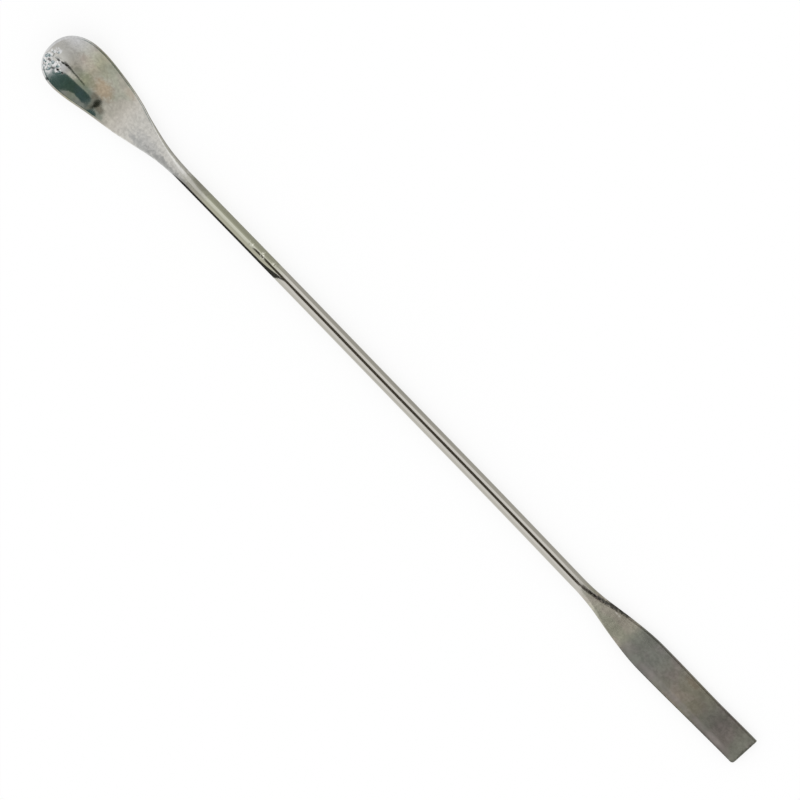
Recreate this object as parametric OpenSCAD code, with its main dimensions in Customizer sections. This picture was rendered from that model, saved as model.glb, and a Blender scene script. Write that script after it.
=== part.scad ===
// Double-ended lab spatula: one steel rod, forged to a pressed bowl at one end and a flat blade at the other.
// It lies as it rests, on the bowl's belly and the far end of the plain rod, with the bowl opening up.

/* [Whole spatula] */
// Length from the tip of the bowl to the end of the blade
overall_len = 225; // [180:1:260]
// Diameter of the rod that both ends are forged from
rod_d = 3.2; // [2.6:0.1:4]

/* [Bowl] */
// Length of the bowl with its neck, from the tip to the plain rod
bowl_len = 44; // [38:1:56]
// Greatest width of the bowl
bowl_w = 14.4; // [11:0.1:18]
// Distance from the tip to the greatest width
bowl_nose = 8; // [6:0.5:11]
// Thickness of the bowl's wall
bowl_t = 0.85; // [0.6:0.05:1.2]
// Radius of the dish, measured across the bowl
dish_r = 11.5; // [10:0.5:20]
// Height of the tip above the rod's axis
tip_rise = 2.4; // [0:0.1:3]
// Slope of the floor at the tip, in degrees
tip_slope = 25; // [10:1:35]
// Depth of the floor's lowest place below the rod's axis
belly_drop = 2; // [1.4:0.1:3]
// Sideways set of the tip, left by hand forging
tip_set = 0.4; // [0:0.1:0.8]

/* [Blade] */
// Length of the blade with its shoulder, from the plain rod to the end
blade_len = 54; // [44:1:70]
// Length of the shoulder, over which the rod widens into the blade
shoulder_len = 24; // [18:1:30]
// Width of the blade next to the shoulder
blade_w = 8.3; // [6:0.1:12]
// Width of the blade at its end
blade_end_w = 7.9; // [5:0.1:12]
// Thickness of the blade
blade_t = 1.05; // [0.7:0.05:1.6]
// Radius of the crisp corner at the blade's end
crisp_corner_r = 0.15; // [0.1:0.05:0.5]
// Radius of the worn corner at the blade's end
worn_corner_r = 0.7; // [0.2:0.1:1.5]

/* [Fineness] */
// Steps in each quarter of a rounded edge
edge_steps = 5; // [4:1:6]
// Points across each half of the dish, apart from its edge
dish_steps = 5; // [3:1:7]
// Cross-sections along the bowl's nose
nose_sections = 12; // [8:1:16]
// Cross-sections along the neck, and along the shoulder
neck_sections = 16; // [10:1:20]

/* [Hidden] */
steel = [0.72, 0.72, 0.69];
rod_sides = 72;
// Cross-sections along the blade's sides, and along its worn corner.
corner_steps = 5;

rod_r = rod_d / 2;
rod_from = bowl_len;
rod_to = overall_len - blade_len;

// Places along the bowl: the floor is lowest at the belly, and the dish fades out where the leaf turns flat.
belly_x = 0.32 * bowl_len;
fade_from = 0.27 * bowl_len;
leaf_flat_from = 0.61 * bowl_len;
floor_level_from = 0.68 * bowl_len;

// The outline of the nose is a superellipse of this power.
nose_power = 2.2;

// Half-width of the leaf behind its widest place: [share of the way to the rod, share of the extra width].
leaf = [[0, 1], [0.24, 0.815], [0.44, 0.59], [0.55, 0.4], [0.775, 0.078], [1, 0]];

// Places along the blade: the wedge thins the rod, and the blade narrows a little towards its end.
blade_from = rod_to + shoulder_len;
wedge_from = rod_to + 1;
wedge_to = rod_to + 0.73 * shoulder_len;
taper_from = blade_from + 2;
taper_to = overall_len - 9;

// How fast a hammered end thins: 1 is a straight wedge.
thinning = 1.25;

// How round an edge is: 1 is a full half-circle, as on the rod, and the forged ends are squarer.
neck_round = 0.4;
blade_round = 0.25;

// Each forged end starts inside the rod, a little smaller than it, so that nothing stands proud.
seat_len = 1;
seat_fit = 0.98;
seat_root_fit = 0.85;

// Step for slopes that are taken as small differences.
tiny = 0.01;

function mix(a, b, s) = a + (b - a) * s;
function share(x, from, to) = min(1, max(0, (x - from) / (to - from)));
function ease(x, from, to) = (1 - cos(180 * share(x, from, to))) / 2;
function unit(v) = v / norm(v);

// A cubic over a gap, from v0 with slope m0 to v1 with slope m1; u is the share of the gap.
function cubic(v0, v1, m0, m1, gap, u) =
    v0 * (1 - 3 * u * u + 2 * u * u * u) + v1 * (3 * u * u - 2 * u * u * u)
    + gap * (m0 * (u - 2 * u * u + u * u * u) + m1 * (u * u * u - u * u));

// A smooth curve through stations of [place, value], level at both ends.
function span_at(s, x, i = 0) = i >= len(s) - 2 || x < s[i + 1][0] ? i : span_at(s, x, i + 1);
function slope_at(s, i) =
    i == 0 || i == len(s) - 1 ? 0 : (s[i + 1][1] - s[i - 1][1]) / (s[i + 1][0] - s[i - 1][0]);
function through(s, x) =
    let (i = span_at(s, x), gap = s[i + 1][0] - s[i][0])
    cubic(s[i][1], s[i + 1][1], slope_at(s, i), slope_at(s, i + 1), gap, (x - s[i][0]) / gap);

// ---- sections: [x, half-width, centre's y, edge's outward direction in plan, thickness, roundness] ----

function seat(x, fit) = [x, rod_r * fit, 0, [0, 1], rod_d * fit, 1];

function nose_section(turn) =
    let (
        x = bowl_nose * (1 - pow(cos(turn), 2 / nose_power)),
        half = bowl_w / 2 * pow(sin(turn), 2 / nose_power),
        ahead = pow(cos(turn), 2 - 2 / nose_power) / bowl_nose,
        aside = pow(sin(turn), 2 - 2 / nose_power) / (bowl_w / 2),
        set = -tip_set * pow(1 - x / bowl_nose, 2)
    )
    [x, half, set, unit([-ahead, aside]), bowl_t, neck_round];

function leaf_half(x) = mix(rod_r, bowl_w / 2, through(leaf, share(x, bowl_nose, rod_from)));
function neck_section(x) =
    let (flare = (leaf_half(x + tiny) - leaf_half(x - tiny)) / (2 * tiny))
    [
        x,
        leaf_half(x),
        0,
        unit([-flare, 1]),
        mix(bowl_t, rod_d, pow(share(x, leaf_flat_from, rod_from), thinning)),
        mix(neck_round, 1, ease(x, 0.8 * rod_from, rod_from))
    ];

function corner_cut(x, r) =
    let (past = max(0, x - (overall_len - r)))
    r - sqrt(max(0, r * r - past * past));
function blade_half(x) =
    mix(rod_r, blade_w / 2, ease(x, rod_to, blade_from))
    - (blade_w - blade_end_w) / 2 * ease(x, taper_from, taper_to);
function blade_section(x) =
    let (left = blade_half(x) - corner_cut(x, crisp_corner_r), right = blade_half(x) - corner_cut(x, worn_corner_r))
    [
        x,
        (left + right) / 2,
        (left - right) / 2,
        [0, 1],
        mix(blade_t, rod_d, pow(1 - share(x, wedge_from, wedge_to), thinning)),
        mix(1, blade_round, ease(x, mix(rod_to, blade_from, 0.1), mix(rod_to, blade_from, 0.6)))
    ];

bowl_sections = [
    for (i = [0 : nose_sections - 1]) nose_section(mix(1, 90, i / nose_sections)),
    for (i = [0 : neck_sections - 1]) neck_section(mix(bowl_nose, rod_from, i / neck_sections)),
    seat(rod_from, seat_fit),
    seat(rod_from + seat_len, seat_root_fit)
];

blade_sections = [
    seat(rod_to - seat_len, seat_root_fit),
    seat(rod_to, seat_fit),
    for (i = [1 : neck_sections]) blade_section(mix(rod_to, blade_from, i / neck_sections)),
    for (i = [1 : corner_steps]) blade_section(mix(blade_from, taper_to, i / corner_steps)),
    for (i = [0 : corner_steps]) blade_section(overall_len - worn_corner_r * (1 - sin(90 * i / corner_steps)))
];

// ---- rings: the points around a section, down the left side from the top and back up the right ----

// The points of an edge stand half a step off its flats, on the tangents, so that the flats keep their height.
function half_ring(s, side, inner) =
    let (
        step = 90 / edge_steps,
        r = s[4] / 2 * s[5],
        edge = [
            for (i = [0 : 2 * edge_steps - 1])
                let (a = 90 - (i + 0.5) * step, out = r * (cos(a) / cos(step / 2) - 1))
                [
                    s[0] + s[3].x * out,
                    s[2] + side * (s[1] + s[3].y * out),
                    sign(a) * (s[4] / 2 - r) + r * sin(a) / cos(step / 2)
                ]
        ],
        first = edge[0],
        shares = [for (i = [1 : 1 : inner]) (i - 0.5) / inner]
    )
    [
        for (f = shares) [first.x, mix(s[2], first.y, f * 0.96), first.z],
        each edge,
        for (i = [inner - 1 : -1 : 0]) [first.x, mix(s[2], first.y, shares[i] * 0.96), -first.z]
    ];
function reversed(list) = [for (i = [len(list) - 1 : -1 : 0]) list[i]];
function ring(s, inner) = concat(half_ring(s, 1, inner), reversed(half_ring(s, -1, inner)));

// ---- pressing the bowl: a flat blank's point moves to the same place on the dished wall ----

function floor_z(x) =
    x < belly_x
    ? cubic(tip_rise, -belly_drop, -tan(tip_slope), 0, belly_x, x / belly_x)
    : cubic(-belly_drop, 0, 0, 0, 1, share(x, belly_x, floor_level_from));
function curve_across(x) = (1 - ease(x, fade_from, leaf_flat_from)) / (2 * dish_r);
function wall_z(x, y) = floor_z(x) + curve_across(x) * y * y;
function pressed(p) =
    let (
        along = (wall_z(p.x + tiny, p.y) - wall_z(p.x - tiny, p.y)) / (2 * tiny),
        across = 2 * curve_across(p.x) * p.y
    )
    [p.x, p.y, wall_z(p.x, p.y)] + p.z * unit([-along, -across, 1]);

bowl_rings = [for (s = bowl_sections) [for (p = ring(s, dish_steps)) pressed(p)]];
blade_rings = [for (s = blade_sections) ring(s, 0)];

// ---- rest: the tilt at which the belly and the far end of the plain rod both touch the ground ----

bowl_points = [for (r = bowl_rings) each r];
blade_points = [for (r = blade_rings) each r];
rest_tilt = max([for (p = bowl_points) atan2(-rod_r - p.z, rod_to - p.x)]);
function laid(p) = [p.x * cos(rest_tilt) + p.z * sin(rest_tilt), p.y];
laid_points = [for (p = concat(bowl_points, blade_points)) laid(p)];
function middle(i) = (min([for (p = laid_points) p[i]]) + max([for (p = laid_points) p[i]])) / 2;
ground = rod_to * sin(rest_tilt) + rod_r * cos(rest_tilt);

// ---- solids ----

function quad(a, b, c, d) = [[a, b, c], [a, c, d]];

// The end of a skin, closed from side to side, with one face for each flat. base is its ring's first point.
function end_faces(n, inner, base) =
    let (half = n / 2)
    [
        [for (j = [-inner - 2 : inner + 1]) base + (j + n) % n],
        for (j = [inner + 1 : half - inner - 3]) each quad(base + n - 1 - j, base + j, base + j + 1, base + n - 2 - j),
        [for (j = [half + inner + 1 : -1 : half - inner - 2]) base + j]
    ];
function flipped(faces) = [for (f = faces) reversed(f)];

// Joins a list of rings into a closed skin.
module skin(rings, inner) {
    n = len(rings[0]);
    last = len(rings) - 1;
    polyhedron(
        points = [for (r = rings) each r],
        faces = [
            for (i = [0 : last - 1], j = [0 : n - 1])
                each quad(i * n + j, i * n + (j + 1) % n, (i + 1) * n + (j + 1) % n, (i + 1) * n + j),
            each end_faces(n, inner, 0),
            each flipped(end_faces(n, inner, last * n))
        ]
    );
}

module rod() {
    translate([rod_from, 0, 0]) rotate([0, 90, 0]) cylinder(d = rod_d, h = rod_to - rod_from, $fn = rod_sides);
}

module spatula() {
    color(steel)
        translate([-middle(0), -middle(1), ground])
            rotate([0, rest_tilt, 0]) {
                rod();
                skin(bowl_rings, dish_steps);
                skin(blade_rings, 0);
            }
}

spatula();
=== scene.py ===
"""Double-ended lab spatula: one steel rod, forged to a pressed bowl at one end and a flat blade at the other."""
import logging
import math
from dataclasses import dataclass, field
from enum import Enum

import bmesh
import bpy
import numpy as np
from mathutils import Matrix, Vector


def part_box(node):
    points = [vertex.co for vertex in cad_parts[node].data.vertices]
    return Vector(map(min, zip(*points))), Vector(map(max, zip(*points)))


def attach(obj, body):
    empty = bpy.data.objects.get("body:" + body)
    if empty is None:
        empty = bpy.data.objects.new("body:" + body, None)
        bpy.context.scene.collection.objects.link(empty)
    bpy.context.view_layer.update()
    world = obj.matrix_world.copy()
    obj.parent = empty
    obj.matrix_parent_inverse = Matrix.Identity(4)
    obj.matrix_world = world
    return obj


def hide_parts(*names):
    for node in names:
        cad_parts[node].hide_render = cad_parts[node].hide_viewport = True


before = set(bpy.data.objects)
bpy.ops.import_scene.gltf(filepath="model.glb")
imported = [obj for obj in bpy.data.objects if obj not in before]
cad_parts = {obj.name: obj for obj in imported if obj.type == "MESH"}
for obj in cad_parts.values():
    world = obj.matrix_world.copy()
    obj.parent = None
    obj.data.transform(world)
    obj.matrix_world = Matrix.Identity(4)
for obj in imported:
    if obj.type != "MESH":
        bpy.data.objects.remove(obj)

log = logging.getLogger("spatula")

Tone = tuple[float, float, float]

MM = 0.001
NODE = "spatula"
BODY = "root"
TIP_SHIFT = 112.444  # from the row frame's origin back to the tip of the bowl, in millimetres
LENGTH = 225.0  # of the spatula, in millimetres
AXIS_HEIGHT = 0.0019  # height of the rod's axis over the table, half-way along
ON_TABLE = 0.00005  # height of a card that lies on the table
SLOPE_STEP = 0.01  # half the span over which a slope is taken, in millimetres
TINY = 1e-9  # keeps a divisor above zero


# ---- small tools ----


def mix(a, b, s):
    """Goes from a to b as s goes from 0 to 1.

    Args:
        a: Value at 0.
        b: Value at 1.
        s: Share of the way.

    Returns:
        The value at that share.
    """
    return a + (b - a) * s


def share(x, start: float, end: float):
    """How far x is on the way from start to end.

    Args:
        x: Place or array of places.
        start: Place where the share is 0.
        end: Place where the share is 1.

    Returns:
        The share, kept between 0 and 1.
    """
    return np.clip((np.asarray(x, float) - start) / (end - start), 0.0, 1.0)


def ease(x, start: float, end: float):
    """A soft step, level at both ends.

    Args:
        x: Place or array of places.
        start: Place where the step begins.
        end: Place where the step is complete.

    Returns:
        The step's height, from 0 to 1.
    """
    return (1.0 - np.cos(math.pi * share(x, start, end))) / 2.0


def cubic(v0, v1, m0, m1, gap, u):
    """A cubic over a gap.

    Args:
        v0: Value at the start.
        v1: Value at the end.
        m0: Slope at the start.
        m1: Slope at the end.
        gap: Length of the gap.
        u: Share of the gap.

    Returns:
        The cubic's value at that share.
    """
    rise = 3 * u * u - 2 * u * u * u
    return v0 * (1 - rise) + v1 * rise + gap * (m0 * (u - 2 * u * u + u**3) + m1 * (u**3 - u * u))


def through(stations: list[tuple[float, float]], x: np.ndarray) -> np.ndarray:
    """A smooth curve through stations, level at both ends.

    Args:
        stations: Pairs of place and value.
        x: Places to read.

    Returns:
        The curve's values there.
    """
    places = np.array([s[0] for s in stations])
    values = np.array([s[1] for s in stations])
    slopes = np.zeros(len(stations))
    slopes[1:-1] = (values[2:] - values[:-2]) / (places[2:] - places[:-2])
    i = np.clip(np.searchsorted(places, x, side="right") - 1, 0, len(stations) - 2)
    gap = places[i + 1] - places[i]
    return cubic(values[i], values[i + 1], slopes[i], slopes[i + 1], gap, (x - places[i]) / gap)


def new_object(bm: bmesh.types.BMesh, name: str) -> bpy.types.Object:
    """Puts a finished mesh into the scene.

    Args:
        bm: The mesh, which is freed.
        name: Name of the object.

    Returns:
        The object.
    """
    mesh = bpy.data.meshes.new(name)
    bm.to_mesh(mesh)
    bm.free()
    obj = bpy.data.objects.new(name, mesh)
    bpy.context.collection.objects.link(obj)
    return obj


# ---- the spatula's shape, in millimetres from the tip of the bowl ----


@dataclass
class Sections:
    """Cross-sections of the blank, before it is pressed: one entry for each in every array.

    Attributes:
        x: Place along the spatula.
        half: Half-width at mid-thickness.
        centre: Sideways place of the middle.
        out_x: Edge's outward direction in plan, along the spatula.
        out_y: Edge's outward direction in plan, sideways.
        thick: Thickness.
        bulge: How far the side stands out past the corners of the flats.
        fillet: Radius of the corners of the flats.
    """

    x: np.ndarray
    half: np.ndarray
    centre: np.ndarray
    out_x: np.ndarray
    out_y: np.ndarray
    thick: np.ndarray
    bulge: np.ndarray
    fillet: np.ndarray

    @classmethod
    def joined(cls, parts: list["Sections"]) -> "Sections":
        """Puts runs of sections one after another.

        Args:
            parts: The runs, from the tip on.

        Returns:
            One run.
        """
        names = ("x", "half", "centre", "out_x", "out_y", "thick", "bulge", "fillet")
        return cls(*[np.concatenate([getattr(p, n) for p in parts]) for n in names])


@dataclass
class Bowl:
    """The pressed bowl and its neck.

    Attributes:
        length: From the tip to the plain rod.
        width: Greatest width.
        nose: Distance from the tip to the greatest width.
        wall: Thickness of the wall.
        dish_r: Radius of the dish across the bowl.
        tip_rise: Height of the tip above the rod's axis.
        tip_slope: Slope of the floor at the tip, in degrees.
        belly_drop: Depth of the floor's lowest place below the rod's axis.
        tip_set: Sideways set of the tip.
        nose_power: Power of the nose's outline, where 2 gives an ellipse.
        first_turn: Angle round the nose at which its first section lies, in degrees.
        rod_r: Radius of the rod.
        thinning: Power with which the neck's thickness grows into the rod's.
        rim_bulge: How far the rim stands out past the corners of its flats.
        neck_bulge: The same, on the neck.
        neck_from: Place where the neck's bulge is reached.
        rim_round: Share of half the thickness that the rim's corners are rounded by.
        round_from: Share of the length where the corners start to become fully round.
        belly_share: Share of the length where the floor is lowest.
        level_share: Share of the length where the floor is level with the rod's axis again.
        dish_shares: Shares of the length between which the dish flattens out.
        leaf: Outline behind the widest place: share of the way to the rod, and share of the extra width left.
    """

    length: float = 44.0
    width: float = 14.4
    nose: float = 8.0
    wall: float = 0.85
    dish_r: float = 11.5
    tip_rise: float = 2.4
    tip_slope: float = 25.0
    belly_drop: float = 2.0
    tip_set: float = 0.4
    nose_power: float = 2.2
    first_turn: float = 0.6
    rod_r: float = 1.6
    thinning: float = 1.25
    rim_bulge: float = 0.1
    neck_bulge: float = 0.26
    neck_from: float = 18.0
    rim_round: float = 0.85
    round_from: float = 0.8
    belly_share: float = 0.32
    level_share: float = 0.68
    dish_shares: tuple[float, float] = (0.27, 0.61)
    leaf: list[tuple[float, float]] = field(
        default_factory=lambda: [(0, 1), (0.24, 0.815), (0.44, 0.59), (0.55, 0.4), (0.775, 0.078), (1, 0)]
    )

    @property
    def belly_x(self) -> float:
        """Place where the floor is lowest."""
        return self.belly_share * self.length

    @property
    def flat_from(self) -> float:
        """Place where the leaf turns flat."""
        return self.dish_shares[1] * self.length

    def leaf_half(self, x: np.ndarray) -> np.ndarray:
        """Half-width of the leaf behind its widest place.

        Args:
            x: Places along the spatula.

        Returns:
            The half-widths.
        """
        return mix(self.rod_r, self.width / 2, through(self.leaf, share(x, self.nose, self.length)))

    def nose_sections(self, count: int) -> Sections:
        """Sections round the nose, close together at the tip.

        Args:
            count: How many.

        Returns:
            The sections, up to just before the widest place.
        """
        turn = np.radians(np.linspace(self.first_turn, 90.0, count, endpoint=False))
        power = self.nose_power
        x = self.nose * (1 - np.cos(turn) ** (2 / power))
        half = self.width / 2 * np.sin(turn) ** (2 / power)
        ahead = np.cos(turn) ** (2 - 2 / power) / self.nose
        aside = np.sin(turn) ** (2 - 2 / power) / (self.width / 2)
        length = np.hypot(ahead, aside)
        centre = -self.tip_set * (1 - x / self.nose) ** 2
        same = np.ones_like(x)
        return Sections(
            x, half, centre, -ahead / length, aside / length,
            self.wall * same, self.rim_bulge * same, self.wall / 2 * self.rim_round * same,
        )

    def neck_sections(self, x: np.ndarray) -> Sections:
        """Sections from the widest place to the plain rod.

        Args:
            x: Places along the spatula.

        Returns:
            The sections there.
        """
        flare = (self.leaf_half(x + SLOPE_STEP) - self.leaf_half(x - SLOPE_STEP)) / (2 * SLOPE_STEP)
        length = np.hypot(flare, 1)
        thick = mix(self.wall, 2 * self.rod_r, share(x, self.flat_from, self.length) ** self.thinning)
        bulge = mix(self.rim_bulge, self.neck_bulge, ease(x, self.nose, self.neck_from))
        fillet = thick / 2 * mix(self.rim_round, 1, ease(x, self.round_from * self.length, self.length))
        return Sections(x, self.leaf_half(x), 0 * x, -flare / length, 1 / length, thick, bulge, fillet)

    def floor_z(self, x: np.ndarray) -> np.ndarray:
        """Height of the floor's middle line above the rod's axis.

        Args:
            x: Places along the spatula.

        Returns:
            The heights.
        """
        slope = -math.tan(math.radians(self.tip_slope))
        front = cubic(self.tip_rise, -self.belly_drop, slope, 0, self.belly_x, x / self.belly_x)
        back = cubic(-self.belly_drop, 0, 0, 0, 1, share(x, self.belly_x, self.level_share * self.length))
        return np.where(x < self.belly_x, front, back)

    def curve_across(self, x: np.ndarray) -> np.ndarray:
        """Half the curvature of the dish across the bowl.

        Args:
            x: Places along the spatula.

        Returns:
            Half the curvature there.
        """
        return (1 - ease(x, self.dish_shares[0] * self.length, self.flat_from)) / (2 * self.dish_r)

    def wall_z(self, x: np.ndarray, y: np.ndarray) -> np.ndarray:
        """Height of the middle of the wall.

        Args:
            x: Places along the spatula.
            y: Places across it.

        Returns:
            The heights above the rod's axis.
        """
        return self.floor_z(x) + self.curve_across(x) * y * y

    def pressed(self, x: np.ndarray, y: np.ndarray, z: np.ndarray) -> tuple[np.ndarray, np.ndarray, np.ndarray]:
        """Moves points of the flat blank to the same places on the dished wall.

        Args:
            x: Places along the blank.
            y: Places across it.
            z: Heights over its middle.

        Returns:
            The points' new x, y and z.
        """
        along = (self.wall_z(x + SLOPE_STEP, y) - self.wall_z(x - SLOPE_STEP, y)) / (2 * SLOPE_STEP)
        across = 2 * self.curve_across(x) * y
        length = np.sqrt(along**2 + across**2 + 1)
        return x - z * along / length, y - z * across / length, self.wall_z(x, y) + z / length


@dataclass
class Blade:
    """The flat blade and its shoulder.

    Attributes:
        start: Place where the plain rod ends.
        end: Place of the end face.
        shoulder: Length over which the rod widens.
        width: Width next to the shoulder.
        end_width: Width at the end.
        thick: Thickness.
        crisp_r: Radius of the crisp corner at the end.
        worn_r: Radius of the worn corner at the end.
        lip: Radius of the edges of the end face.
        rod_r: Radius of the rod.
        thinning: Power with which the shoulder's thickness falls from the rod's.
        thin_after: Distance past the plain rod where the thinning starts.
        thin_share: Share of the shoulder by which the thinning is complete.
        taper: Distances past the shoulder and before the end between which the blade narrows.
        bulge: How far the sides stand out past the corners of the flats.
        edge_r: Radius of the corners of the flats.
        edges_after: Distances past the plain rod between which the flats' corners form.
    """

    start: float = 171.0
    end: float = LENGTH
    shoulder: float = 24.0
    width: float = 8.3
    end_width: float = 7.9
    thick: float = 1.05
    crisp_r: float = 0.15
    worn_r: float = 0.7
    lip: float = 0.08
    rod_r: float = 1.6
    thinning: float = 1.25
    thin_after: float = 1.0
    thin_share: float = 0.73
    taper: tuple[float, float] = (2.0, 9.0)
    bulge: float = 0.07
    edge_r: float = 0.38
    edges_after: tuple[float, float] = (6.0, 14.0)

    def half(self, x: np.ndarray) -> np.ndarray:
        """Half-width of the blade, its end corners apart.

        Args:
            x: Places along the spatula.

        Returns:
            The half-widths.
        """
        full = self.start + self.shoulder
        narrowed = (self.width - self.end_width) / 2 * ease(x, full + self.taper[0], self.end - self.taper[1])
        return mix(self.rod_r, self.width / 2, ease(x, self.start, full)) - narrowed

    def corner_cut(self, x: np.ndarray, radius: float) -> np.ndarray:
        """How much a rounded end corner takes off one side.

        Args:
            x: Places along the spatula.
            radius: Radius of the corner.

        Returns:
            The width taken off.
        """
        past = np.maximum(0, x - (self.end - radius))
        return radius - np.sqrt(np.maximum(0, radius**2 - past**2))

    def sections(self, x: np.ndarray, inset: np.ndarray) -> Sections:
        """Sections of the shoulder and blade.

        Args:
            x: Places along the spatula.
            inset: How much each is taken in all round.

        Returns:
            The sections there.
        """
        left = self.half(x) - self.corner_cut(x, self.crisp_r)
        right = self.half(x) - self.corner_cut(x, self.worn_r)
        wedge = share(x, self.start + self.thin_after, self.start + self.thin_share * self.shoulder)
        thick = mix(self.thick, 2 * self.rod_r, (1 - wedge) ** self.thinning)
        formed = ease(x, self.start + self.edges_after[0], self.start + self.edges_after[1])
        fillet = np.minimum(thick / 2, mix(thick / 2, self.edge_r, formed))
        return Sections(
            x, (left + right) / 2 - inset, (left - right) / 2, 0 * x, 1 + 0 * x,
            thick - 2 * inset, np.full_like(x, self.bulge), np.minimum(fillet, thick / 2 - inset),
        )


@dataclass
class HandWork:
    """What the hammer, the bench and use left on the spatula: a slight bend, dimples at the tip and a few nicks.

    Attributes:
        bend: Stations of place and sideways bend towards -Y.
        dimples: How many dimples lie at the tip.
        dimple_r: Least and greatest radius of a dimple.
        dimple_depth: Least and greatest depth of a dimple.
        dimple_x: Least and greatest place of a dimple along the blank.
        dimple_y: Least and greatest place of a dimple across it.
        back: Where the dimples end towards the rod, and the distance before it over which they fade out.
        back_slant: How far that end draws in for each millimetre towards -Y, and where across it starts to.
        side: Where the dimples end towards +Y, and the distance before it over which they fade out.
        side_draw: How far that end draws in, and the places along the blank between which it does.
        rim_height: How strongly a dimple rises into a rim round its hollow.
        blows: Single deeper dimples: place along the blank, place across it, radius and depth.
        nicks: Shallow cuts across the top of the rod: place, slant along the rod, half-width, depth, and the
            angles round the rod where each starts and ends, in degrees from straight up towards +Y.
        nick_fade: Angle over which a nick fades at its ends, to each side of them.
        seed: Starts the draw of the dimples.
    """

    bend: list[tuple[float, float]] = field(
        default_factory=lambda: [
            (0, 0), (20, 0), (35, -0.08), (80, -0.07), (110, 0.04), (140, 0.08), (155, 0.18),
            (170, 0.33), (184, 0.41), (198, 0.37), (212, 0.3), (225, 0.14),
        ]
    )
    dimples: int = 64
    dimple_r: tuple[float, float] = (0.34, 0.6)
    dimple_depth: tuple[float, float] = (0.06, 0.15)
    dimple_x: tuple[float, float] = (0.4, 6.4)
    dimple_y: tuple[float, float] = (-6.2, 0.9)
    back: tuple[float, float] = (4.5, 1.0)
    back_slant: tuple[float, float] = (0.7, -2.6)
    side: tuple[float, float] = (1.0, 1.2)
    side_draw: tuple[float, float, float] = (2.3, 2.2, 4.4)
    rim_height: float = 0.55
    blows: tuple[tuple[float, float, float, float], ...] = (
        (4.95, -3.55, 0.5, 0.12), (3.7, -2.6, 0.45, 0.1), (1.1, -0.5, 0.6, 0.1), (2.3, -3.7, 0.5, 0.12),
    )
    nick_fade: float = 8.0
    seed: int = 7
    nicks: list[tuple[float, float, float, float, float, float]] = field(
        default_factory=lambda: [
            (63.6, 0.1, 0.22, 0.025, -30, 50),
            (68.0, 0.7, 0.2, 0.04, -15, 65),
            (70.9, 0.1, 0.15, 0.025, 25, 60),
            (169.2, 0.1, 0.45, 0.02, -20, 40),
        ]
    )

    def dents(self, x: np.ndarray, y: np.ndarray) -> np.ndarray:
        """Height of the dimpled skin at the tip, over the smooth one.

        Args:
            x: Places along the blank.
            y: Places across it.

        Returns:
            The heights, below zero in a dimple and a little above it between them.
        """
        draw = np.random.default_rng(self.seed)
        height = np.zeros_like(x)
        marks = list(self.blows)
        for _ in range(self.dimples):
            at_x = draw.uniform(*self.dimple_x)
            at_y = draw.uniform(*self.dimple_y)
            radius = draw.uniform(*self.dimple_r)
            depth = draw.uniform(*self.dimple_depth)
            slant, slant_from = self.back_slant
            drawn, draw_from, draw_to = self.side_draw
            end_x = self.back[0] + slant * min(0.0, at_y - slant_from)
            end_y = self.side[0] - drawn * float(share(at_x, draw_from, draw_to))
            behind = float(1 - share(at_x, end_x - self.back[1], end_x))
            beside = float(1 - share(at_y, end_y - self.side[1], end_y))
            marks.append((at_x, at_y, radius, depth * (behind * beside)))
        for at_x, at_y, radius, depth in marks:
            near = ((x - at_x) ** 2 + (y - at_y) ** 2) / radius**2
            height -= depth * np.exp(-near) * (1 - self.rim_height * near)
        return height

    def cuts(self, x: np.ndarray, y: np.ndarray, z: np.ndarray) -> np.ndarray:
        """How deep the nicks cut at points of the rod.

        Args:
            x: Places along the rod.
            y: Places across it.
            z: Heights over its axis.

        Returns:
            The depths, towards the axis.
        """
        around = np.degrees(np.arctan2(y, z))
        depth = np.zeros_like(x)
        for at, slant, half, deep, start, end in self.nicks:
            off = (x - at + slant * (around - start) / (end - start)) / half
            soft = self.nick_fade
            fade = share(around, start - soft, start + soft) * (1 - share(around, end - soft, end + soft))
            depth += deep * np.exp(-off * off) * fade
        return depth


@dataclass(frozen=True)
class Fineness:
    """How closely the skin's points lie.

    Attributes:
        ring: Points round a section.
        nose: Sections round the nose.
        bowl_step: Distance between sections in the bowl.
        bowl_end: Place where the bowl's fine sections end.
        neck_step: Distance between sections on the neck and on the shoulder.
        rod_step: Distance between sections on the plain rod.
        nicked: Places between which the rod has nicks.
        nicked_step: Distance between sections there.
        flat: Sections on the blade.
        corner: Sections round the blade's end corners.
        lip: Sections round the edges of the end face.
        rims: How far the end face's inner rings lie inside its edge.
        side_extra: Length added to a side's radius, where a section's points are shared out along it.
        fillet_extra: The same for a corner of the flats.
    """

    ring: int = 200
    nose: int = 100
    bowl_step: float = 0.22
    bowl_end: float = 20.0
    neck_step: float = 0.4
    rod_step: float = 2.0
    nicked: tuple[float, float] = (62.0, 72.5)
    nicked_step: float = 0.2
    flat: int = 40
    corner: int = 9
    lip: int = 6
    rims: tuple[float, float] = (0.02, 0.12)
    side_extra: float = 0.15
    fillet_extra: float = 0.8


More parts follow.
